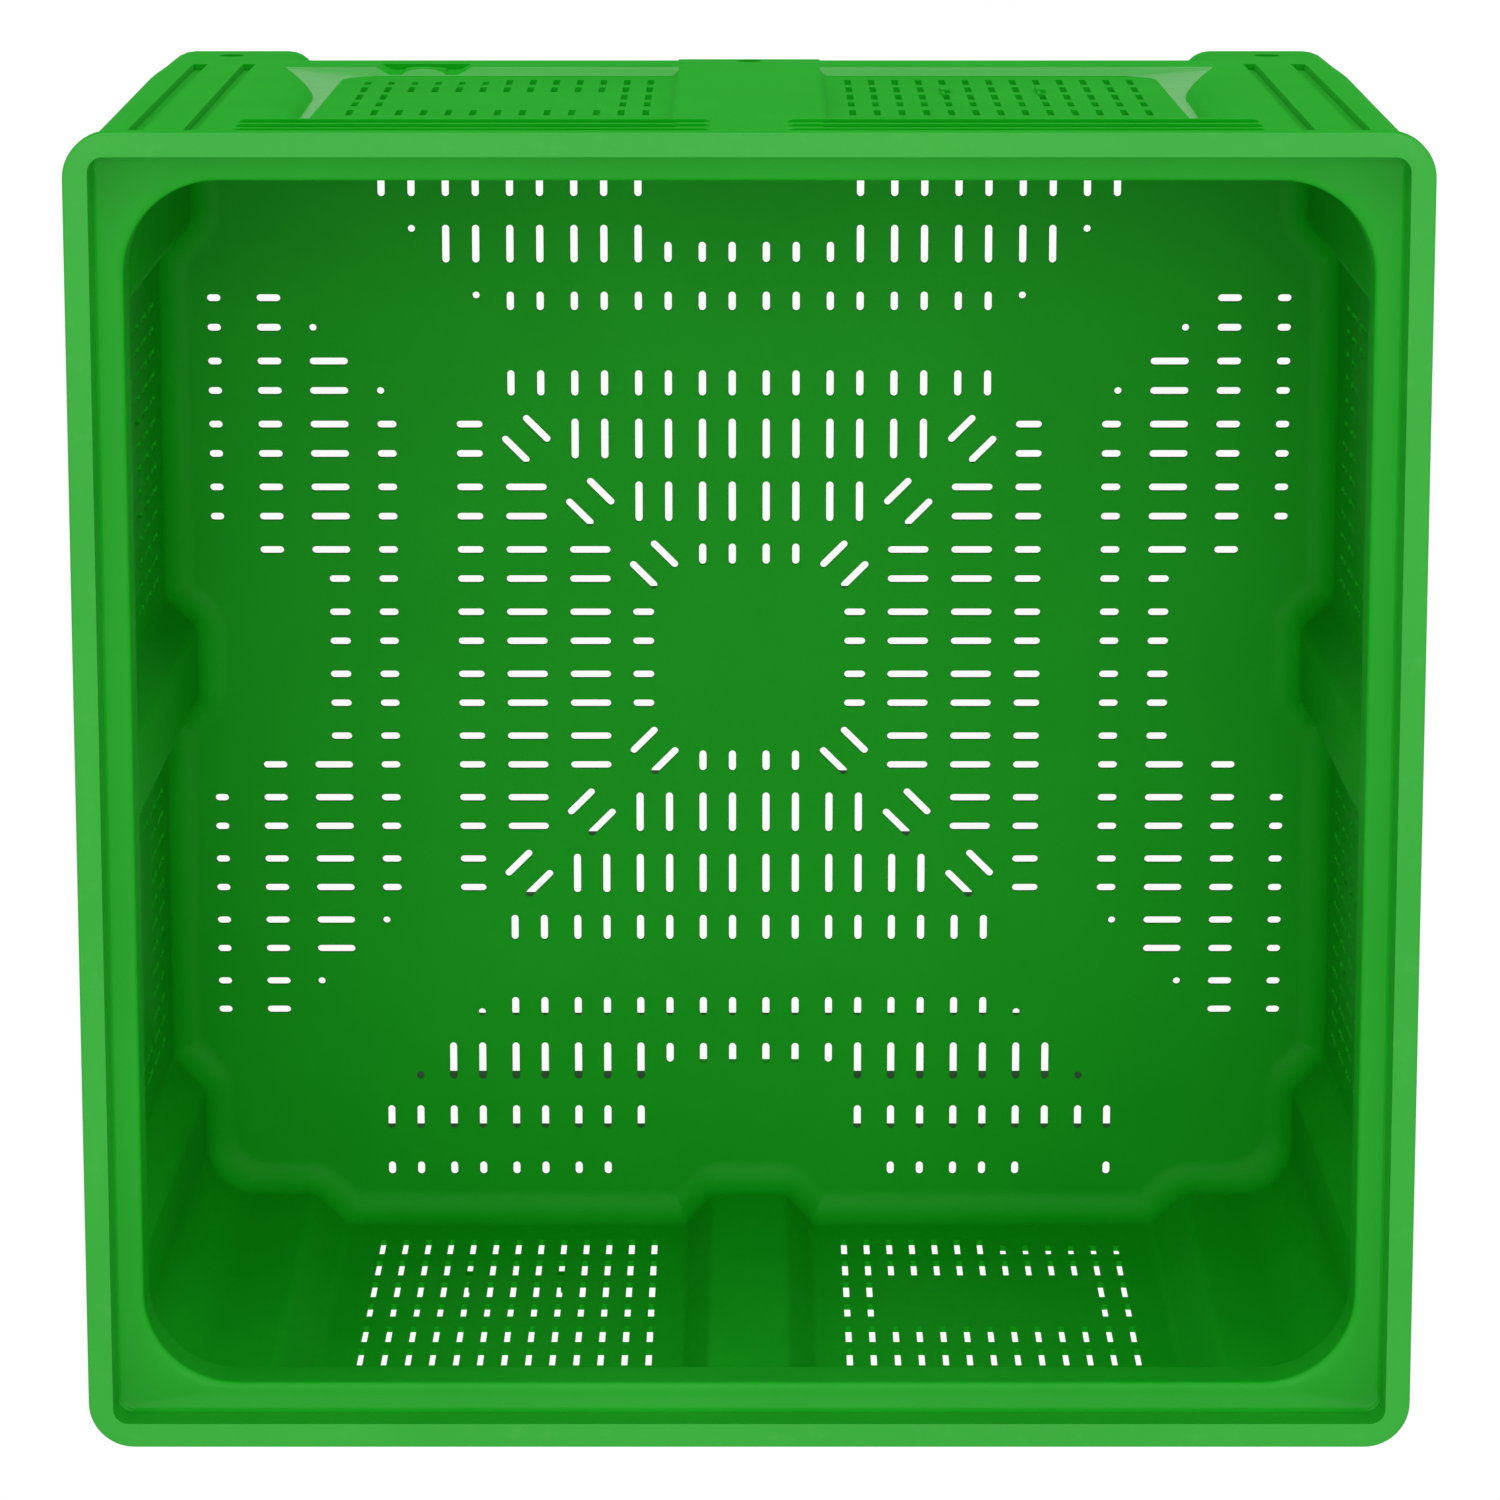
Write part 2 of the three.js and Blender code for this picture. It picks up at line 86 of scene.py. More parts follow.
# ------------------------------------------------------------- materials ----
def plastic(name, tint, gloss, rough_range, grain, scuff, wear_from=None, wear_to=None):
    """Moulded polyethylene: cloudy pigment, fine mould grain, faint rubbing.

    wear_from and wear_to are heights in metres between which rubbing from stacking sets in.
    """
    mat = bpy.data.materials.new(name)
    mat.use_nodes = True
    tree = mat.node_tree
    links = tree.links
    shader = tree.nodes["Principled BSDF"]
    shader.inputs["Metallic"].default_value = 0.0
    shader.inputs["IOR"].default_value = 1.5
    shader.inputs["Specular IOR Level"].default_value = gloss

    def node(kind, **values):
        made = tree.nodes.new(kind)
        for key, value in values.items():
            made.inputs[key].default_value = value
        return made

    def ramp(source, low, high, dark, light):
        made = tree.nodes.new("ShaderNodeValToRGB")
        made.color_ramp.elements[0].position = low
        made.color_ramp.elements[1].position = high
        made.color_ramp.elements[0].color = dark
        made.color_ramp.elements[1].color = light
        links.new(source, made.inputs["Fac"])
        return made.outputs["Color"]

    place = node("ShaderNodeTexCoord").outputs["Object"]
    cloud = node("ShaderNodeTexNoise", Scale=5.5, Detail=5.0, Roughness=0.6)
    rubbed = node("ShaderNodeTexNoise", Scale=46.0, Detail=7.0, Roughness=0.72)
    fine = node("ShaderNodeTexNoise", Scale=950.0, Detail=2.0)
    swell = node("ShaderNodeTexNoise", Scale=16.0, Detail=2.0)
    for texture in (cloud, rubbed, fine, swell):
        links.new(place, texture.inputs["Vector"])

    dark = (tint[0] * 0.8, tint[1] * 0.965, tint[2] * 0.85, 1.0)
    light = (tint[0] * 1.3, tint[1] * 1.035, tint[2] * 1.2, 1.0)
    base = ramp(cloud.outputs["Fac"], 0.3, 0.72, dark, light)
    mask = ramp(rubbed.outputs["Fac"], 0.55, 0.8, (0.0, 0.0, 0.0, 1.0), (scuff, scuff, scuff, 1.0))
    if wear_from is not None:
        split = node("ShaderNodeSeparateXYZ")
        links.new(place, split.inputs[0])
        near = tree.nodes.new("ShaderNodeMapRange")
        near.inputs["From Min"].default_value = wear_from
        near.inputs["From Max"].default_value = wear_to
        near.inputs["To Min"].default_value = 1.0
        near.inputs["To Max"].default_value = 2.6
        links.new(split.outputs["Z"], near.inputs["Value"])
        boost = tree.nodes.new("ShaderNodeMath")
        boost.operation = "MULTIPLY"
        links.new(near.outputs["Result"], boost.inputs[0])
        links.new(mask, boost.inputs[1])
        mask = boost.outputs["Value"]
    paint = tree.nodes.new("ShaderNodeMix")
    paint.data_type = "RGBA"
    paint.inputs[7].default_value = (tint[0] + 0.03, tint[1] * 1.12, tint[2] + 0.03, 1.0)
    links.new(mask, paint.inputs["Factor"])
    links.new(base, paint.inputs[6])
    links.new(paint.outputs[2], shader.inputs["Base Color"])

    rough = tree.nodes.new("ShaderNodeMapRange")
    rough.inputs["To Min"].default_value = rough_range[0]
    rough.inputs["To Max"].default_value = rough_range[1]
    links.new(rubbed.outputs["Fac"], rough.inputs["Value"])
    links.new(rough.outputs["Result"], shader.inputs["Roughness"])

    bump_fine = node("ShaderNodeBump", Strength=grain, Distance=0.0002)
    bump_swell = node("ShaderNodeBump", Strength=0.2, Distance=0.0007)
    links.new(fine.outputs["Fac"], bump_fine.inputs["Height"])
    links.new(swell.outputs["Fac"], bump_swell.inputs["Height"])
    links.new(bump_swell.outputs["Normal"], bump_fine.inputs["Normal"])
    links.new(bump_fine.outputs["Normal"], shader.inputs["Normal"])
    return mat


GREEN = (0.004, 0.345, 0.007)
# SHADE_GREEN paints shade: a much darker green for the deck's underside, the slot walls and the floor grid.
SHADE_GREEN = (0.002, 0.09, 0.003)
outer_plastic = plastic("outer_plastic", GREEN, 0.05, (0.78, 0.92), 0.3, 0.25)
inner_plastic = plastic("inner_plastic", GREEN, 0.12, (0.42, 0.6), 0.3, 0.15)
rim_plastic = plastic("rim_plastic", GREEN, 0.55, (0.42, 0.6), 0.25, 0.25, 0.772, 0.78)
foot_plastic = plastic("foot_plastic", GREEN, 0.05, (0.8, 0.95), 0.4, 0.35, 0.02, 0.0)
cove_plastic = plastic("cove_plastic", GREEN, 0.28, (0.42, 0.6), 0.3, 0.15)
# A lighter, glossier green below paints a highlight and reflection on the skirt ledge and the sloped strips
# beside the corner posts.
ledge_highlight_plastic = plastic("ledge_highlight_plastic", (0.018, 0.36, 0.02), 0.48, (0.45, 0.6), 0.3, 0.3)
# The material below carries SHADE_GREEN's painted shade onto the deck's underside, slot walls and floor grid.
painted_shade_plastic = plastic("painted_shade_plastic", SHADE_GREEN, 0.1, (0.6, 0.8), 0.3, 0.2)


# ------------------------------------------------------------ mesh helpers ----
SHARP_ANGLE = math.radians(32.0)


def mesh_object(name, verts, faces, material=None):
    """Mesh from millimetre points, with its faces turned outwards."""
    mesh = bpy.data.meshes.new(name)
    mesh.from_pydata([Vector(v) * 0.001 for v in verts], [], faces)
    mesh.validate()
    obj = bpy.data.objects.new(name, mesh)
    bpy.context.scene.collection.objects.link(obj)
    bm = bmesh.new()
    bm.from_mesh(mesh)
    bmesh.ops.recalc_face_normals(bm, faces=bm.faces)
    bm.to_mesh(mesh)
    bm.free()
    if material:
        mesh.materials.append(material)
    return obj


def grid_faces(rings, count, closed):
    """Quads between neighbouring rings of one skin."""
    faces = []
    last = rings if closed else rings - 1
    for n in range(last):
        for i in range(count):
            j = (i + 1) % count
            m = (n + 1) % rings
            faces.append((n * count + i, n * count + j, m * count + j, m * count + i))
    return faces


def loft(name, rings, closed=False):
    """Skin through rings of equal point count: a closed ring of rings, or capped ends."""
    count = len(rings[0])
    verts = [point for ring in rings for point in ring]
    faces = grid_faces(len(rings), count, closed)
    if not closed:
        faces.append(tuple(range(count)))
        faces.append(tuple(range((len(rings) - 1) * count, len(rings) * count)))
    return mesh_object(name, verts, faces)


def prisms(name, solids):
    """Many separate lofted solids in one mesh, each a list of rings."""
    verts, faces = [], []
    for rings in solids:
        base = len(verts)
        count = len(rings[0])
        verts += [point for ring in rings for point in ring]
        faces += [tuple(base + k for k in face) for face in grid_faces(len(rings), count, False)]
        faces.append(tuple(base + k for k in range(count)))
        faces.append(tuple(base + (len(rings) - 1) * count + k for k in range(count)))
    return mesh_object(name, verts, faces)


def block(x0, x1, y0, y1, z0, z1):
    """Rings of an upright box, for prisms."""
    ring = [(x0, y0), (x1, y0), (x1, y1), (x0, y1)]
    return [[(x, y, z) for x, y in ring] for z in (z0, z1)]


def apply_modifiers(obj):
    graph = bpy.context.evaluated_depsgraph_get()
    mesh = bpy.data.meshes.new_from_object(obj.evaluated_get(graph))
    obj.modifiers.clear()
    old = obj.data
    obj.data = mesh
    bpy.data.meshes.remove(old)


def boolean(obj, other, operation):
    """Cut or join with another object, which is used up."""
    mod = obj.modifiers.new("cut", "BOOLEAN")
    mod.operation = operation
    mod.object = other
    mod.solver = "MANIFOLD"
    apply_modifiers(obj)
    mesh = other.data
    bpy.data.objects.remove(other)
    bpy.data.meshes.remove(mesh)
    return obj


def copy_of(obj, name, turns):
    """Copy turned by quarter turns about the crate's upright axis."""
    mesh = obj.data.copy()
    mesh.name = name
    mesh.transform(Matrix.Rotation(math.pi / 2 * turns, 4, "Z"))
    made = bpy.data.objects.new(name, mesh)
    bpy.context.scene.collection.objects.link(made)
    return made


def finish_surface(obj):
    """Smooth the shallow edges and keep the sharp ones."""
    mesh = obj.data
    bm = bmesh.new()
    bm.from_mesh(mesh)
    bmesh.ops.remove_doubles(bm, verts=bm.verts, dist=1e-6)
    for face in bm.faces:
        face.smooth = True
    for edge in bm.edges:
        edge.smooth = len(edge.link_faces) == 2 and edge.calc_face_angle(0.0) < SHARP_ANGLE
    bm.to_mesh(mesh)
    bm.free()
    mod = obj.modifiers.new("normals", "WEIGHTED_NORMAL")
    mod.keep_sharp = True
    mod.weight = 80


def settle(obj, name, material, *nodes):
    """Name and finish a piece, and put it on the crate in place of its CAD nodes."""
    obj.name = name
    obj.data.name = name
    if not obj.data.materials:
        obj.data.materials.append(material)
    else:
        obj.data.materials[0] = material
    finish_surface(obj)
    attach(obj, "root")
    if nodes:
        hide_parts(*nodes)


# ------------------------------------------------------------ plan outlines ----
def offset_corners(corners, inward):
    """Mitred offset of a closed counter-clockwise corner list, towards its inside."""
    made = []
    total = len(corners)
    for n in range(total):
        before, here, after = corners[n - 1], corners[n], corners[(n + 1) % total]
        a = Vector((here[0] - before[0], here[1] - before[1])).normalized()
        b = Vector((after[0] - here[0], after[1] - here[1])).normalized()
        na = Vector((-a.y, a.x))
        nb = Vector((-b.y, b.x))
        turn = a.x * b.y - a.y * b.x
        mitre = (na + nb) / (1.0 + na.dot(nb))
        radius = max(1.5, here[2] - math.copysign(inward, turn)) if abs(turn) > 1e-6 else here[2]
        made.append((here[0] + mitre.x * inward, here[1] + mitre.y * inward, radius))
    return made


def rounded(corners, z, steps):
    """Points round a closed corner list, each corner turned with its own radius."""
    points = []
    total = len(corners)
    for n in range(total):
        before, here, after = (Vector(corners[(n + k) % total][:2]) for k in (-1, 0, 1))
        a = (before - here)
        b = (after - here)
        radius = corners[n][2]
        la, lb = a.length, b.length
        a.normalize()
        b.normalize()
        spread = math.acos(max(-1.0, min(1.0, a.dot(b))))
        if spread > math.pi - 1e-4:
            reach = min(1.0, la * 0.4, lb * 0.4)
            for s in range(steps + 1):
                t = s / steps * 2 - 1
                point = here + (a * -t if t < 0 else b * t) * reach
                points.append((point.x, point.y, z))
            continue
        reach = min(radius / math.tan(spread / 2), la * 0.48, lb * 0.48)
        radius = reach * math.tan(spread / 2)
        centre = here + (a + b).normalized() * (radius / math.sin(spread / 2))
        start = here + a * reach - centre
        end = here + b * reach - centre
        sweep = math.atan2(start.x * end.y - start.y * end.x, start.dot(end))
        for s in range(steps + 1):
            angle = sweep * s / steps
            c, d = math.cos(angle), math.sin(angle)
            points.append((centre.x + start.x * c - start.y * d, centre.y + start.x * d + start.y * c, z))
    return points


def four_sides(half):
    """Quarter turns of one side's corner list, counter-clockwise from the right end."""
    corners = []
    for turns in range(4):
        c, s = round(math.cos(math.pi / 2 * turns)), round(math.sin(math.pi / 2 * turns))
        corners += [(x * c - y * s, x * s + y * c, r) for x, y, r in half]
    return corners


def mix(a, b, t):
    """Blend from a to b, held at both ends."""
    return a + (b - a) * max(0.0, min(1.0, t))


def both_halves(half):
    """A side's corner list from its right half, which starts at the shared crate corner."""
    return four_sides(half + [(-x, y, r) for x, y, r in reversed(half[1:])])


def inner_corners(z):
    """Inner plan outline: corner posts, panels and middle posts that stand inwards."""
    rise = (z - FLOOR_TOP) / 580.0
    post = mix(POST_IN, 526.6, rise)
    wall = mix(WALL_IN, WALL_IN + WALL_LEAN, rise)
    return both_halves([
        (post, post, 58.0), (417.0, post, 16.0), (385.0, wall, 16.0), (61.0, wall, 13.0), (34.0, post, 13.0),
    ])


def post_face(z):
    """Outer face of posts and skirt: steeper draft on the skirt than above it."""
    if z < LEDGE_LOW:
        return mix(SKIRT_OUT_LOW, SKIRT_OUT_HIGH, (z - SKIRT_BOTTOM) / (LEDGE_LOW - SKIRT_BOTTOM))
    return mix(SKIRT_OUT_HIGH, POST_OUT_TOP, (z - LEDGE_LOW) / (SHELL_TOP - LEDGE_LOW))


VALLEY_LOW = 430.0
VALLEY_TOP = 391.0
SHOULDER = 433.0


def valley_line(z):
    """Distance from the side's middle to the valley between corner post and panel."""
    rise = max(0.0, min(1.0, (z - LEDGE_LOW) / 215.0))
    return mix(VALLEY_LOW, VALLEY_TOP, math.sin(math.pi / 2 * rise))


def panel_edge(z):
    """Distance from the side's middle to the edge of the vented panel, rounded at its foot."""
    foot = max(0.0, min(1.0, 1 - (z - LEDGE_HIGH) / 34.0))
    return mix(373.0, 382.0, (z - LEDGE_HIGH) / 470.0) - 28.0 * foot ** 2


def outer_corners(z, inset=0.0):
    """Outer plan outline: rounded corner posts that dip into a valley, panel, middle post."""
    post = post_face(z) - inset
    sunk = mix(0.0, 1.0, (z - LEDGE_LOW) / (LEDGE_HIGH - LEDGE_LOW))
    panel = mix(WALL_OUT, WALL_OUT + WALL_LEAN, (z - LEDGE_HIGH) / 500.0)
    wall = mix(post, panel, sunk)
    corner_r = mix(31.0, 46.0, (z - SKIRT_BOTTOM) / 600.0) - inset
    valley = valley_line(z)
    depth = mix(0.0, post - VALLEY_FLOOR, (VALLEY_LOW - valley) / (VALLEY_LOW - VALLEY_TOP))
    half = [(post, post, corner_r)]
    for degrees in (0, 30, 58, 86):
        angle = math.radians(degrees)
        x = SHOULDER - (SHOULDER - valley) * math.sin(angle)
        half.append((x, post - depth * (1 - math.cos(angle)), 40.0))
    half += [(valley - 1.6, post - depth, 1.0), (panel_edge(z), wall, 2.0)]
    half += [(70.5, wall, 3.0), (64.0, post, 9.0)]
    return both_halves(half)


# ------------------------------------------------------------- wall shell ----
STEPS = 6


def hollow_rings():
    """Inside of the crate: flat floor, rounded floor fillet and drafted walls."""
    rings = []
    for n in range(9):
        angle = math.pi / 2 * n / 8
        z = FLOOR_TOP + FILLET_R * (1 - math.cos(angle))
        inward = FILLET_R * (1 - math.sin(angle))
        rings.append(rounded(offset_corners(inner_corners(z), inward), z, STEPS))
    for z in (320.0, 460.0, 600.0, LEDGE_UNDER + 0.6):
        rings.append(rounded(inner_corners(z), z, STEPS))
    rings.append([(x, y, LEDGE_UNDER + 6.0) for x, y, _ in rings[-1]])
    return rings


def outside_rings():
    """Outside of the crate, down over the skirt's foot and up to the deck's underside."""
    rings = []
    levels = [LEDGE_UNDER + 0.6, 600.0, 500.0, 400.0, 375.0, 350.0, 325.0, 300.0, 275.0, 250.0, 232.0]
    levels += [216.0, 206.0, LEDGE_HIGH, 191.0, LEDGE_LOW, (LEDGE_LOW + SKIRT_BOTTOM) / 2, SKIRT_BOTTOM + 1.2]
    for z in levels:
        rings.append(rounded(outer_corners(z), z, STEPS))
    rings.append(rounded(outer_corners(SKIRT_BOTTOM, 1.2), SKIRT_BOTTOM, STEPS))
    rings.append(rounded(outer_corners(SKIRT_BOTTOM, 4.2), SKIRT_BOTTOM, STEPS))
    rings.append(rounded(outer_corners(SKIRT_BOTTOM, 5.2), SKIRT_BOTTOM + 1.0, STEPS))
    rings.append(rounded(outer_corners(150.0, 7.2), DECK_UNDER, STEPS))
    return rings


def box_corners(half_x, half_y, radius):
    """Corner list of a rectangle about the origin, counter-clockwise from the upper right."""
    return [(sx * half_x, sy * half_y, radius) for sx, sy in ((1, 1), (-1, 1), (-1, -1), (1, -1))]


def square(half, radius, z, steps=8):
    return rounded(box_corners(half, half, radius), z, steps)


def patch(x0, x1, y0, y1, radius, z):
    """Rounded rectangle between two X and two Y values."""
    return rounded([(x1, y1, radius), (x0, y1, radius), (x0, y0, radius), (x1, y0, radius)], z, STEPS)


def wall_rings(x, z, half_w, half_h, radius, layers, steps=3):
    """Rounded rectangle seen from outside, lofted through layers of (Y, growth of its half sizes)."""
    rings = []
    for y, grow in layers:
        outline = rounded(box_corners(half_w + grow, half_h + grow, radius), 0.0, steps)
        rings.append([(x + u, y, z + v) for u, v, _ in outline])
    return rings


def oval_points(u0, v0, half_u, half_v, count=40):
    """Points round an ellipse."""
    angles = [2 * math.pi * n / count for n in range(count)]
    return [(u0 + half_u * math.cos(a), v0 + half_v * math.sin(a)) for a in angles]


shell = loft("shell", outside_rings())
boolean(shell, loft("hollow", hollow_rings()), "DIFFERENCE")
band = loft("band", [rounded(outer_corners(min(z, SHELL_TOP)), z, STEPS) for z in (734.0, 748.0, 771.0)])
boolean(band, loft("band_core", [square(554.0, 30.0, z) for z in (730.0, 775.0)]), "DIFFERENCE")
boolean(shell, band, "UNION")


# ------------------------------------------------------------------- feet ----
FOOT_RIB_T = 5.0
FOOT_SKIN = 6.0
FOOT_TOP = 156.4
CORNER_FOOT_IN = 414.0


def cross_ribs(x0, x1, y0, y1, z1):
    """Two upright ribs that cross in the middle of a foot."""
    mx, my, half = (x0 + x1) / 2, (y0 + y1) / 2, FOOT_RIB_T / 2
    across = prisms("rib_x", [block(mx - half, mx + half, y0 + 3, y1 - 3, 1.0, z1)])
    along = prisms("rib_y", [block(x0 + 3, x1 - 3, my - half, my + half, 1.0, z1)])
    return boolean(across, along, "UNION")


def hollow_foot(name, x0, x1, y0, y1):
    """Open-bottomed foot: a box closed at the top, with a rib cross inside."""
    def ring(z, inset):
        return patch(x0 + inset, x1 - inset, y0 + inset, y1 - inset, 10 - inset, z)

    foot = loft(name, [ring(0.0, 1.0), ring(1.0, 0.0), ring(FOOT_TOP * 0.5, 0.0), ring(FOOT_TOP, 0.0)])
    hollow = [ring(-4.0, FOOT_SKIN - 0.6), ring(0.6, FOOT_SKIN), ring(FOOT_TOP - 7.0, FOOT_SKIN)]
    core = loft(name + "_core", hollow)
    boolean(foot, core, "DIFFERENCE")
    boolean(foot, cross_ribs(x0, x1, y0, y1, FOOT_TOP - 3.0), "UNION")
    return foot


def corner_foot():
    """Foot under a corner post, open below, with its outer faces flush with the skirt."""
    def ring(z, inset):
        out = mix(559.9, SKIRT_OUT_LOW, z / SKIRT_BOTTOM) - inset
        low = CORNER_FOOT_IN + inset
        side_r = 26.0 - inset
        outline = [(out, out, 31.0 - inset), (low, out, side_r), (low, low, 12.0), (out, low, side_r)]
        return rounded(outline, z, STEPS)

    foot = loft("corner_foot", [ring(0.0, 1.2), ring(1.2, 0.0), ring(SKIRT_BOTTOM, 0.0), ring(157.0, 0.4)])
    core = loft("corner_core", [ring(-3.0, FOOT_SKIN), ring(148.0, 7.0)])
    boolean(foot, core, "DIFFERENCE")
    boolean(foot, cross_ribs(CORNER_FOOT_IN, 560.0, CORNER_FOOT_IN, 560.0, 152.0), "UNION")
    return foot


corner_pattern = corner_foot()
for turns in range(4):
    boolean(shell, copy_of(corner_pattern, "corner", turns), "UNION")
bpy.data.objects.remove(corner_pattern)

tongue = loft("tongue", [
    patch(-66.0, 66.0, 554.6, 560.2, 2, 89.0),
    patch(-67.0, 67.0, 553.9, 561.0, 2, 90.0),
    patch(-67.5, 67.5, 553.9, 561.4, 2, 130.0),
])
for turns in range(4):
    boolean(shell, copy_of(tongue, "tongue_copy", turns), "UNION")
bpy.data.objects.remove(tongue)


# ---------------------------------------------------- vents, slots and holes ----
VENT_COLS = 13
VENT_ROWS = 6
VENT_X0 = 90.0
VENT_PITCH_X = 21.5
VENT_Z0 = 234.7
VENT_PITCH_Z = 65.8
VENT_HALF_W = 2.85
VENT_H = 44.0


def wall_faces(z):
    """Inner and outer Y of the vented panel."""
    return WALL_IN + WALL_LEAN * (z - FLOOR_TOP) / 580.0, WALL_OUT + WALL_LEAN * (z - LEDGE_HIGH) / 500.0


def vent_rings(x, z0, z1):
    """Upright vent through the wall, flared just past both faces."""
    middle = (z0 + z1) / 2
    inner, outer = wall_faces(middle)
    layers = [(inner - 3.0, 3.2), (inner + 0.2, 0.0), (outer - 0.2, 0.0), (outer + 3.0, 3.2)]
    return wall_rings(x, middle, VENT_HALF_W, (z1 - z0) / 2, 0.5, layers)


def vent_cutters():
    """Vents of one wall: a full panel at +X, and one with a blank label area at -X."""
    solids = []
    for side in (-1, 1):
        for row in range(VENT_ROWS):
            for col in range(VENT_COLS):
                labelled = side < 0
                if labelled and row in (2, 3) and 2 <= col <= 10:
                    continue
                z0 = VENT_Z0 + VENT_PITCH_Z * row
                z1 = z0 + VENT_H - (8.0 if row == 3 else 0.0)
                over_pocket = labelled and row == 0 and col >= 7
                if over_pocket:
                    z0 += 18.0
                solids.append(vent_rings(side * (VENT_X0 + VENT_PITCH_X * col), z0, z1))
    return prisms("vents", solids)


def stadium(cx, cy, length, angle, grow):
    """Outline of a round-ended slot whose long side runs at an angle from +X."""
    r = SLOT_W / 2 + grow
    half = length / 2 - SLOT_W / 2
    c, s = math.cos(angle), math.sin(angle)
    points = []
    for end in (0, 1):
        for n in range(7):
            a = -math.pi / 2 + math.pi * n / 6 + math.pi * end
            u = (half if end == 0 else -half) + r * math.cos(a)
            v = r * math.sin(a)
            points.append((cx + u * c - v * s, cy + u * s + v * c))
    return points


# Slots stand in pairs, 16 mm each side of every grid line. A row gives its near and far end from
# the middle of the crate, and the first and last of its lines, counted outwards.
SLOT_LINES = [16.0, 44.0, 76.0, 104.0, 136.0, 164.0, 196.0, 224.0, 256.0, 284.0, 316.0, 344.0]
FRONT_BLANK_ROW = 495.6
FRONT_BLANK_LINES = (10, 11)
SLOT_ROWS = [
    (90.0, 110.0, 1, 2), (131.0, 169.5, 1, 4), (191.0, 229.5, 1, 6), (251.0, 275.5, 1, 8), (332.0, 350.0, 1, 8),
    (377.5, 397.0, 1, 3), (377.0, 413.0, 4, 10), (439.5, 462.0, 4, 12), (FRONT_BLANK_ROW, 508.4, 5, 12),
]
DOTS = [(256.0, 346.6), (316.0, 409.4)]
SLOT_W = 6.8
DOT_LENGTH = 6.9


def slot_rings(cx, cy, length, angle):
    """Slot through the deck, with a small bevel at its upper edge."""
    rings = []
    for z, grow in ((DECK_UNDER - 12.0, 0.0), (FLOOR_TOP - 0.7, 0.0), (FLOOR_TOP + 2.3, 3.0)):
        rings.append([(x, y, z) for x, y in stadium(cx, cy, length, angle, grow)])
    return rings


def slot_cutters(turns):
    """Slots of one quarter of the floor; the front quarter has two slots fewer."""
    solids = []
    for r0, r1, first, last in SLOT_ROWS:
        for line in range(first, last + 1):
            for side in (-1, 1):
                blank = turns == 2 and r0 == FRONT_BLANK_ROW and side < 0 and line in FRONT_BLANK_LINES
                if not blank:
                    x = side * SLOT_LINES[line - 1]
                    solids.append(slot_rings(x, (r0 + r1) / 2, r1 - r0, math.pi / 2))
    for x, y in DOTS:
        for side in (-1, 1):
            solids.append(slot_rings(side * x, y, DOT_LENGTH, math.pi / 2))
    for n in (90.0, 150.0, 210.0):
        for shift in (-1, 1):
            d = 14.0 * shift / math.sqrt(2)
            solids.append(slot_rings(n + d, n - d, 34.0, math.pi / 4))
    return prisms("slots", solids)


def groove_cutters():
    """Two upright grooves in the outer face of each corner post."""
    solids = []
    for side in (-1, 1):
        for x0, x1 in ((504.6, 517.6), (460.2, 471.2)):
            a, b = sorted((side * x0, side * x1))
            levels = []
            for z in (149.0, LEDGE_LOW, SHELL_TOP, 768.0):
                face = post_face(min(z, SHELL_TOP))
                mouth, bottom = face + 6.0, face - 5.5
                outline = [(a - 1.6, mouth), (a + 0.8, bottom), (b - 0.8, bottom), (b + 1.6, mouth)]
                levels.append([(x, y, z) for x, y in outline])
            solids.append(levels)
    return prisms("grooves", solids)


def disc_rings(x, z, radius, y0, y1):
    return [[(u, y, v) for u, v in oval_points(x, z, radius, radius)] for y in (y0, y1)]


def hole_cutters():
    """Round holes low in the corner posts and in the middle post's tongue."""
    centres = ((-491.0, 48.0), (491.0, 48.0), (0.0, 108.0))
    return prisms("holes", [disc_rings(x, z, 12.0, 548.0, 580.0) for x, z in centres])


POCKET_X = -301.0
POCKET_LOW = 145.0
POCKET_HALF_H = 27.5


def pocket_cutter():
    """Splayed finger pocket low on the wall; a rounded boss with an arched foot stands in it."""
    rings = []
    for y, half in ((557.2, 30.0), (558.2, 34.0), (563.0, 44.0), (575.0, 62.0)):
        rings += wall_rings(POCKET_X, POCKET_LOW + POCKET_HALF_H, half, POCKET_HALF_H, 2.0, [(y, 0.0)], 4)
    cutter = prisms("pocket", [rings])
    boss_oval = oval_points(POCKET_X, 556.0, 20.5, 5.8)
    boss = prisms("boss", [[[(x, y, z) for x, y in boss_oval] for z in (140.0, 230.0)]])
    arch_oval = oval_points(POCKET_X, POCKET_LOW, 17.0, 22.0)
    arch = prisms("arch", [[[(x, y, z) for x, z in arch_oval] for y in (545.0, 580.0)]])
    boolean(boss, arch, "DIFFERENCE")
    return boolean(cutter, boss, "DIFFERENCE")


for turns in range(4):
    for cutter in (pocket_cutter(), vent_cutters(), slot_cutters(turns), groove_cutters(), hole_cutters()):
        boolean(shell, copy_of(cutter, "cutter_copy", turns), "DIFFERENCE")
        bpy.data.objects.remove(cutter)

shell_nodes = ["floor_deck"]
shell_nodes += [f"post_{place}" for place in CORNERS + SIDES]
shell_nodes += [f"foot_{place}" for place in CORNERS]
shell_nodes += [f"skirt_{side}_{kind}" for side in SIDES for kind in ("plain", "pocket")]
shell_nodes += [f"vent_panel_{side}_{kind}" for side in SIDES for kind in ("full", "label")]
settle(shell, "crate_shell", outer_plastic, *shell_nodes)
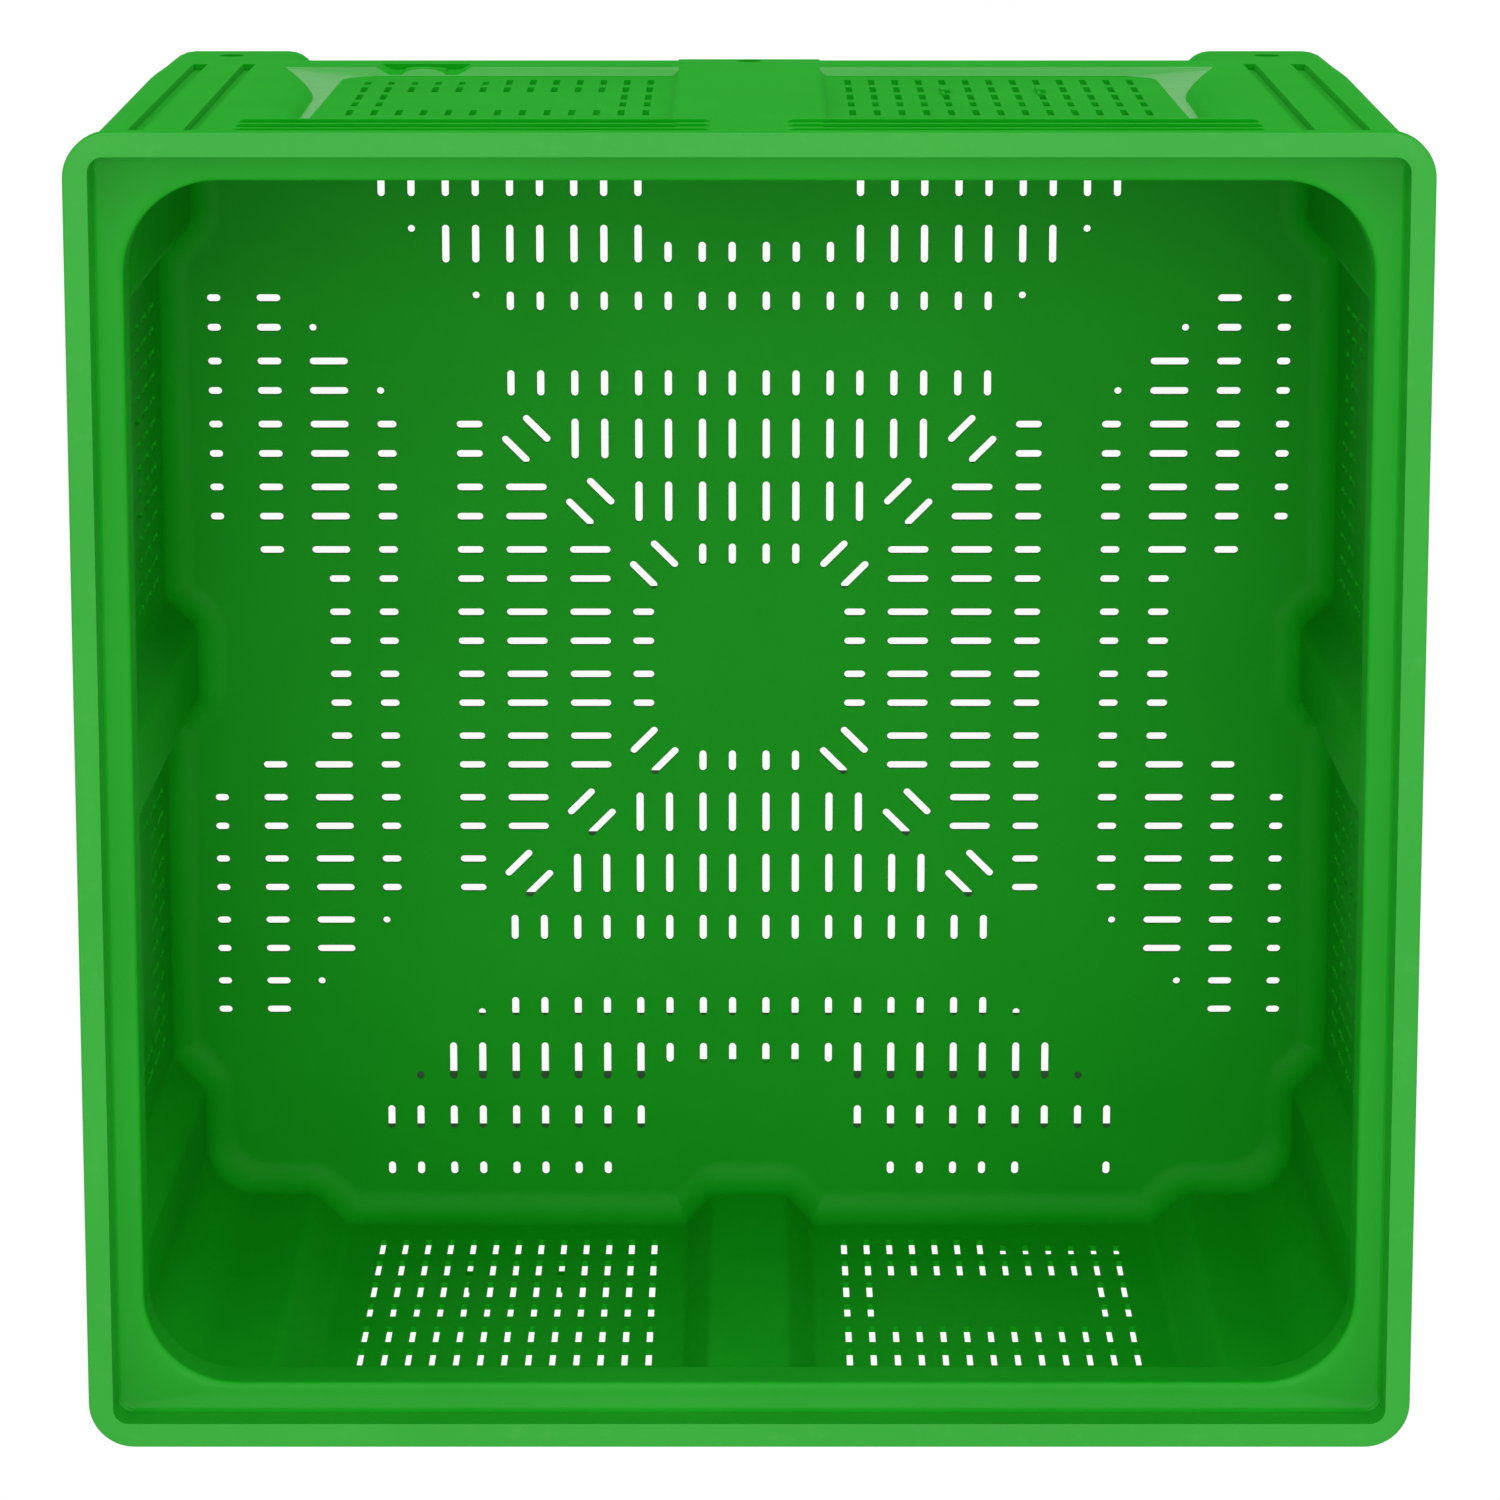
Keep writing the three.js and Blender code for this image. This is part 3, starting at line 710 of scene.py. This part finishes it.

# Material slots: inner faces, painted shade under the deck and in the slots, painted highlight on the ledge.
INNER, PAINTED_SHADE, LEDGE_HIGHLIGHT = 1, 2, 3
for material in (inner_plastic, painted_shade_plastic, ledge_highlight_plastic):
    shell.data.materials.append(material)
for face in shell.data.polygons:
    x, y, z = (abs(c) * 1000.0 for c in face.center)
    reach, along = max(x, y), min(x, y)
    # The deck's underside and the slot walls take the painted shade.
    if DECK_UNDER - 0.1 < z < FLOOR_TOP - 0.9 and reach < 515.0:
        face.material_index = PAINTED_SHADE
    elif z > FLOOR_TOP - 1.0 and reach < wall_faces(z)[0] + 1.5:
        face.material_index = INNER
    # The skirt ledge and the sloped strips between panel edge and valley take the painted highlight.
    elif LEDGE_LOW < z < LEDGE_HIGH + 12.0 and reach > 552.5 and face.normal.z > 0.12:
        face.material_index = LEDGE_HIGHLIGHT
    elif z > LEDGE_LOW and reach > 551.8 and panel_edge(z) - 0.3 < along < valley_line(z) - 0.9:
        face.material_index = LEDGE_HIGHLIGHT

# ------------------------------------------------------------ stacking rim ----
# Half width, height and plan corner radius, from the outer edge over the lip and down to the flange.
RIM_PROFILE = [
    (RIM_HALF, 764.6, 39), (RIM_HALF, 777.4, 39), (RIM_HALF - 0.5, 779.2, 38.6),
    (RIM_HALF - 1.9, RIM_TOP, 37.5),
    (549.4, RIM_TOP, 13.4), (548.5, 779.7, 13), (548.1, 778.8, 12.8),
    (547.3, 751.0, 12.2), (546.9, 749.4, 12.2),
    (546.1, 748.6, 12.6), (545.6, 746.9, 13.0), (544.2, 745.4, 16), (540.6, 743.7, 28), (536.5, 742.5, 46),
    (532.5, 741.8, 64), (529.0, 741.4, 75), (527.0, 740.8, 77), (525.2, 739.3, 78.4), (524.3, 737.6, 79),
    (RIM_OPENING, 735.5, 79), (RIM_OPENING, FLANGE_Z + 0.8, 79), (RIM_OPENING + 1.0, FLANGE_Z, 78),
    (RIM_OPENING + 3.0, FLANGE_Z, 76), (RIM_OPENING + 3.6, LEDGE_UNDER, 75), (545.0, LEDGE_UNDER, 35),
    (552.8, LEDGE_UNDER, 26), (558.6, LEDGE_UNDER, 34), (558.6, 772.0, 34),
    (564.8, 774.0, 35), (564.8, 764.6, 35),
    (565.4, 764.0, 35.5), (RIM_HALF - 0.6, 764.0, 38.5),
]
rim = loft("stacking_rim", [square(half, r, z, 14) for half, z, r in RIM_PROFILE], True)
settle(rim, "stacking_rim", rim_plastic, *[f"rim_{s}" for s in SIDES])
rim.data.materials.append(cove_plastic)
rim.data.materials.append(outer_plastic)
COVE, OUTSIDE = 1, 2
for face in rim.data.polygons:
    x, y, z = (abs(c) * 1000.0 for c in face.center)
    if z < 764.0 and max(x, y) < 549.0:
        face.material_index = COVE
    elif z < 778.5 and max(x, y) > 550.0:
        face.material_index = OUTSIDE


# --------------------------------------------------- ribs, clips, floor grid ----
RIB_LEVELS = (673.0, 708.0, 742.0)
RIB_BACK = 547.0


def rib_rings(z, x0, x1):
    """Level rib along the wall that tapers away at both ends."""
    rings = []
    for x, rise in ((x0, 0.0), (x0 + 2.0, 0.55), (x0 + 6.0, 1.0), (x1 - 6.0, 1.0), (x1 - 2.0, 0.55), (x1, 0.0)):
        out = mix(565.8, 569.4, rise)
        h = mix(2.2, 3.5, rise)
        mid = z + 3.5
        low, high = mid - h, mid + h
        lower = [(RIB_BACK, low - 0.4), (out - 0.9, low), (out - 0.25, low + 0.35), (out, low + 1.1)]
        upper = [(out, high - 1.1), (out - 0.25, high - 0.35), (out - 0.9, high), (RIB_BACK, high + 0.4)]
        rings.append([(x, y, level) for y, level in lower + upper])
    return rings


rib_spans = ((31.0, 432.0), (-432.0, -31.0))
rib_pattern = prisms("ribs", [rib_rings(z, x0, x1) for z in RIB_LEVELS for x0, x1 in rib_spans])
for turns, side in enumerate(SIDES):
    settle(copy_of(rib_pattern, "rim_ribs_" + side, turns), "rim_ribs_" + side, outer_plastic,
           f"upper_band_{side}_a", f"upper_band_{side}_b")
bpy.data.objects.remove(rib_pattern)


def clip_rings(x, z, half_w, half_h, proud):
    """Raised block on the vented panel, with softened outer edges."""
    _, face = wall_faces(z)
    layers = [(face - 1.5, 0.0), (face + proud - 0.7, 0.0), (face + proud - 0.2, -0.4), (face + proud, -1.0)]
    return wall_rings(x, z, half_w, half_h, 1.2, layers)


CLIP_COLS = (4, 8)
clips = []
for column in CLIP_COLS:
    column_x = VENT_X0 + VENT_PITCH_X * column
    clips.append(clip_rings(column_x, 336.0, 4.2, 16.0, 3.4))
    clips.append(clip_rings(column_x - 2.4, 365.0, 1.7, 12.0, 2.0))
clip_pattern = prisms("clips", clips)
for turns, side in enumerate(SIDES):
    settle(copy_of(clip_pattern, "panel_clips_" + side, turns), "panel_clips_" + side, outer_plastic)
bpy.data.objects.remove(clip_pattern)


GRID_REACH = 553.0
GRID_RIB_HALF = 1.5


def floor_grid():
    """Crossed ribs under the deck, deepest along the outside and cut away over the feet."""
    bars_x, bars_y = [], []
    for k in range(-8, 9):
        depth = {8: 70.0, 7: 45.0}.get(abs(k), 38.0)
        z0, z1 = DECK_UNDER - depth, DECK_UNDER + 0.8
        low, high = GRID * k - GRID_RIB_HALF, GRID * k + GRID_RIB_HALF
        bars_x.append(block(low, high, -GRID_REACH, GRID_REACH, z0, z1))
        bars_y.append(block(-GRID_REACH, GRID_REACH, low, high, z0, z1))
    grid = boolean(prisms("bars_x", bars_x), prisms("bars_y", bars_y), "UNION")
    feet = [(-55, 55, -55, 55)]
    feet += [(417, 600, 417, 600), (-600, -417, 417, 600), (-600, -417, -600, -417), (417, 600, -600, -417)]
    feet += [(-64, 64, 440, 560), (-64, 64, -560, -440), (440, 560, -64, 64), (-560, -440, -64, 64)]
    keep_out = prisms("keep_out", [block(x0, x1, y0, y1, 0.0, 200.0) for x0, x1, y0, y1 in feet])
    return boolean(grid, keep_out, "DIFFERENCE")


# The rib grid under the deck wears the painted shade material.
settle(floor_grid(), "floor_grid", painted_shade_plastic, "floor_rib_grid")

settle(hollow_foot("centre_foot", -58.0, 58.0, -58.0, 58.0), "centre_foot", foot_plastic, "foot_centre")
side_foot = hollow_foot("side_foot", -67.0, 67.0, 437.0, 548.0)
for turns, side in enumerate(SIDES):
    settle(copy_of(side_foot, "side_foot_" + side, turns), "side_foot_" + side, foot_plastic, f"foot_{side}")
bpy.data.objects.remove(side_foot)


# ------------------------------------------------------------------ studio ----
def studio_surface():
    """Plain white floor, bright enough to fade into the background."""
    mat = bpy.data.materials.new("studio_floor")
    mat.use_nodes = True
    tree = mat.node_tree
    shader = tree.nodes["Principled BSDF"]
    shader.inputs["Base Color"].default_value = (0.06, 0.06, 0.06, 1.0)
    shader.inputs["Roughness"].default_value = 1.0
    shader.inputs["Specular IOR Level"].default_value = 0.0
    shader.inputs["Emission Color"].default_value = (1.0, 1.0, 1.0, 1.0)
    shader.inputs["Emission Strength"].default_value = 0.97
    return mat


GROUND_HALF = 9000
ground_corners = [(x * GROUND_HALF, y * GROUND_HALF, -2) for x, y in ((-1, -1), (1, -1), (1, 1), (-1, 1))]
ground = mesh_object("ground", ground_corners, [(0, 1, 2, 3)], studio_surface())


def area_light(name, location, size, energy):
    """Round soft light aimed at the middle of the crate."""
    data = bpy.data.lights.new(name, "AREA")
    data.shape = "DISK"
    data.size = size
    data.energy = energy
    light = bpy.data.objects.new(name, data)
    light.location = location
    aim = Vector((0.0, 0.0, 0.35)) - light.location
    light.rotation_euler = aim.to_track_quat("-Z", "Y").to_euler()
    bpy.context.scene.collection.objects.link(light)


area_light("overhead", (0.0, 1.2, 6.0), 2.5, 50.0)
area_light("back_key", (0.0, 5.0, 4.2), 2.5, 40.0)

world = bpy.data.worlds.new("studio")
world.use_nodes = True
world.node_tree.nodes["Background"].inputs["Color"].default_value = (1.0, 1.0, 1.0, 1.0)
world.node_tree.nodes["Background"].inputs["Strength"].default_value = 0.95
bpy.context.scene.world = world
bpy.context.scene.view_settings.view_transform = "Standard"
